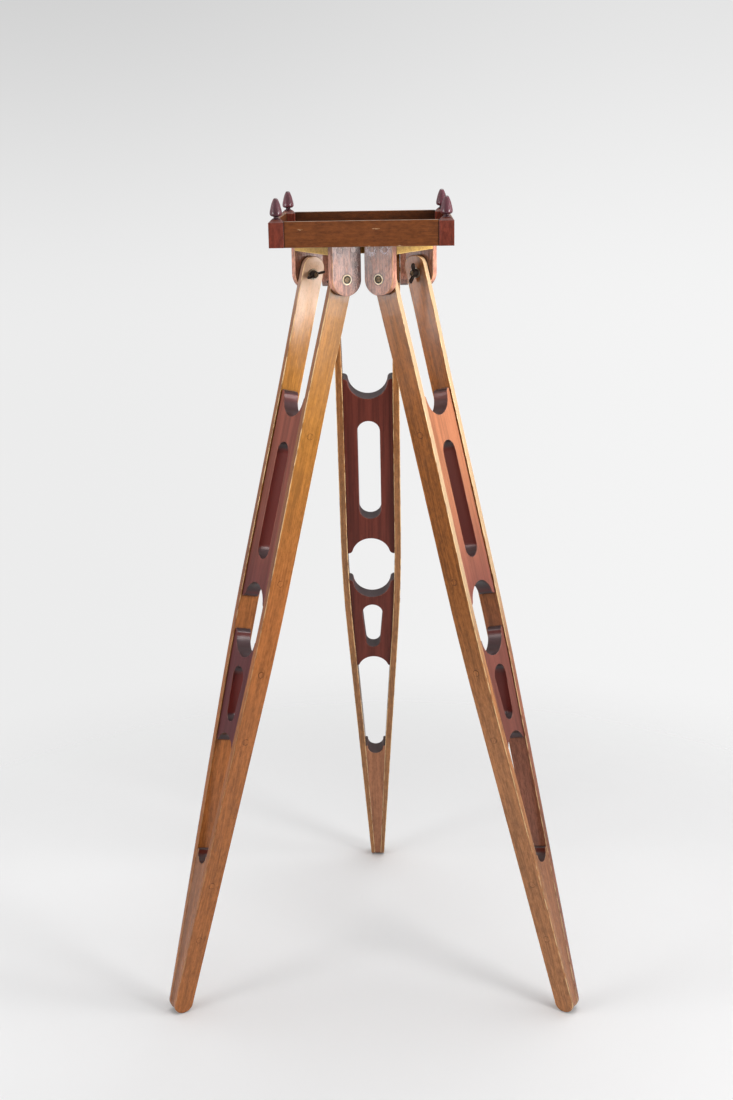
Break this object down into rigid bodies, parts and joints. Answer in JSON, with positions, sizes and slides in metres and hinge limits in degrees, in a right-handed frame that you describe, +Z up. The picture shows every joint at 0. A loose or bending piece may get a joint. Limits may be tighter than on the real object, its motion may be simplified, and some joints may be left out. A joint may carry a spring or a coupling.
{
  "type": "surveyor tripod",
  "caption": "Wooden surveyor tripod with bent-rail legs on clamped hinges, pierced webs and a square gallery tray with turned acorn finials on its head.",
  "frame": {"origin": "centre of the tray floor's top face, on the vertical axis that the three legs share", "axes": "+Z up out of the tray; +Y towards the rear leg; the front gallery rail and the gap between the two front legs face -Y"},
  "size_m": [0.7622, 0.6606, 1.4702],
  "materials": {
    "floor_board": "satin varnish, hidden inside the tray",
    "gallery_wood": "worn satin varnish with a few light scratches",
    "post_wood": "red stained satin varnish",
    "finial_wood": "dark glossy varnish",
    "head_wood": "honey coloured satin varnish",
    "cheek_wood": "worn greyish brown satin varnish",
    "rail_wood": "golden brown satin varnish, rubbed along the edges",
    "web_wood": "dark red brown satin varnish",
    "foot_wood": "brown satin varnish",
    "rail_plug_wood": "brown satin varnish",
    "cheek_plug_wood": "greyish brown satin varnish",
    "cup_brass": "old polished brass",
    "pivot_steel": "darkened steel",
    "screw_steel": "plain steel, hidden under the plugs",
    "nut_iron": "blackened iron"
  },
  "bodies": {
    "head": {"tray_floor": "floor_board", "gallery_rail_front": "gallery_wood", "gallery_rail_right": "gallery_wood", "gallery_rail_back": "gallery_wood", "gallery_rail_left": "gallery_wood", "corner_post_front_left": "post_wood", "corner_post_front_right": "post_wood", "corner_post_back_right": "post_wood", "corner_post_back_left": "post_wood", "finial_front_left": "finial_wood", "finial_front_right": "finial_wood", "finial_back_right": "finial_wood", "finial_back_left": "finial_wood", "head_block": "head_wood", "cheek_rear_right": "cheek_wood", "cheek_rear_left": "cheek_wood", "cheek_left_back": "cheek_wood", "cheek_left_front": "cheek_wood", "cheek_right_front": "cheek_wood", "cheek_right_back": "cheek_wood", "cheek_screws": "screw_steel", "cheek_plugs": "cheek_plug_wood", "tray_screws": "screw_steel", "cup_washers": "cup_brass", "pivot_screws": "pivot_steel", "pivot_washers": "pivot_steel"},
    "leg_rear": {"rear_leg_right_rail": "rail_wood", "rear_leg_left_rail": "rail_wood", "rear_leg_upper_web": "web_wood", "rear_leg_lower_web": "web_wood", "rear_leg_foot_block": "foot_wood", "rear_leg_rail_screws": "screw_steel", "rear_leg_rail_plugs": "rail_plug_wood"},
    "wing_nut_rear_right": {"wing_nut_rear_right": "nut_iron"},
    "wing_nut_rear_left": {"wing_nut_rear_left": "nut_iron"},
    "leg_left": {"left_leg_back_rail": "rail_wood", "left_leg_front_rail": "rail_wood", "left_leg_upper_web": "web_wood", "left_leg_lower_web": "web_wood", "left_leg_foot_block": "foot_wood", "left_leg_rail_screws": "screw_steel", "left_leg_rail_plugs": "rail_plug_wood"},
    "wing_nut_left_back": {"wing_nut_left_back": "nut_iron"},
    "wing_nut_left_front": {"wing_nut_left_front": "nut_iron"},
    "leg_right": {"right_leg_front_rail": "rail_wood", "right_leg_back_rail": "rail_wood", "right_leg_upper_web": "web_wood", "right_leg_lower_web": "web_wood", "right_leg_foot_block": "foot_wood", "right_leg_rail_screws": "screw_steel", "right_leg_rail_plugs": "rail_plug_wood"},
    "wing_nut_right_front": {"wing_nut_right_front": "nut_iron"},
    "wing_nut_right_back": {"wing_nut_right_back": "nut_iron"}
  },
  "joints": [
    {"name": "rear_leg_swing", "type": "hinge", "parent": "head", "child": "leg_rear", "pos_m": [0, 0.0753, -0.0656], "axis": [1, 0, 0], "range_deg": [-15.7, 30]},
    {"name": "wing_nut_rear_right_turn", "type": "hinge", "parent": "head", "child": "wing_nut_rear_right", "pos_m": [0.04798, 0.0753, -0.0656], "axis": [-1, 0, 0], "range_deg": [0, 450]},
    {"name": "wing_nut_rear_left_turn", "type": "hinge", "parent": "head", "child": "wing_nut_rear_left", "pos_m": [-0.04798, 0.0753, -0.0656], "axis": [1, 0, 0], "range_deg": [0, 450]},
    {"name": "left_leg_swing", "type": "hinge", "parent": "head", "child": "leg_left", "pos_m": [-0.06521, -0.03765, -0.0656], "axis": [-0.5, 0.866, 0], "range_deg": [-15.7, 30]},
    {"name": "wing_nut_left_back_turn", "type": "hinge", "parent": "head", "child": "wing_nut_left_back", "pos_m": [-0.0892, 0.0039, -0.0656], "axis": [0.5, -0.866, 0], "range_deg": [0, 450]},
    {"name": "wing_nut_left_front_turn", "type": "hinge", "parent": "head", "child": "wing_nut_left_front", "pos_m": [-0.04122, -0.0792, -0.0656], "axis": [-0.5, 0.866, 0], "range_deg": [0, 450]},
    {"name": "right_leg_swing", "type": "hinge", "parent": "head", "child": "leg_right", "pos_m": [0.06521, -0.03765, -0.0656], "axis": [-0.5, -0.866, 0], "range_deg": [-15.7, 30]},
    {"name": "wing_nut_right_front_turn", "type": "hinge", "parent": "head", "child": "wing_nut_right_front", "pos_m": [0.04122, -0.0792, -0.0656], "axis": [0.5, 0.866, 0], "range_deg": [0, 450]},
    {"name": "wing_nut_right_back_turn", "type": "hinge", "parent": "head", "child": "wing_nut_right_back", "pos_m": [0.0892, 0.0039, -0.0656], "axis": [-0.5, -0.866, 0], "range_deg": [0, 450]}
  ]
}
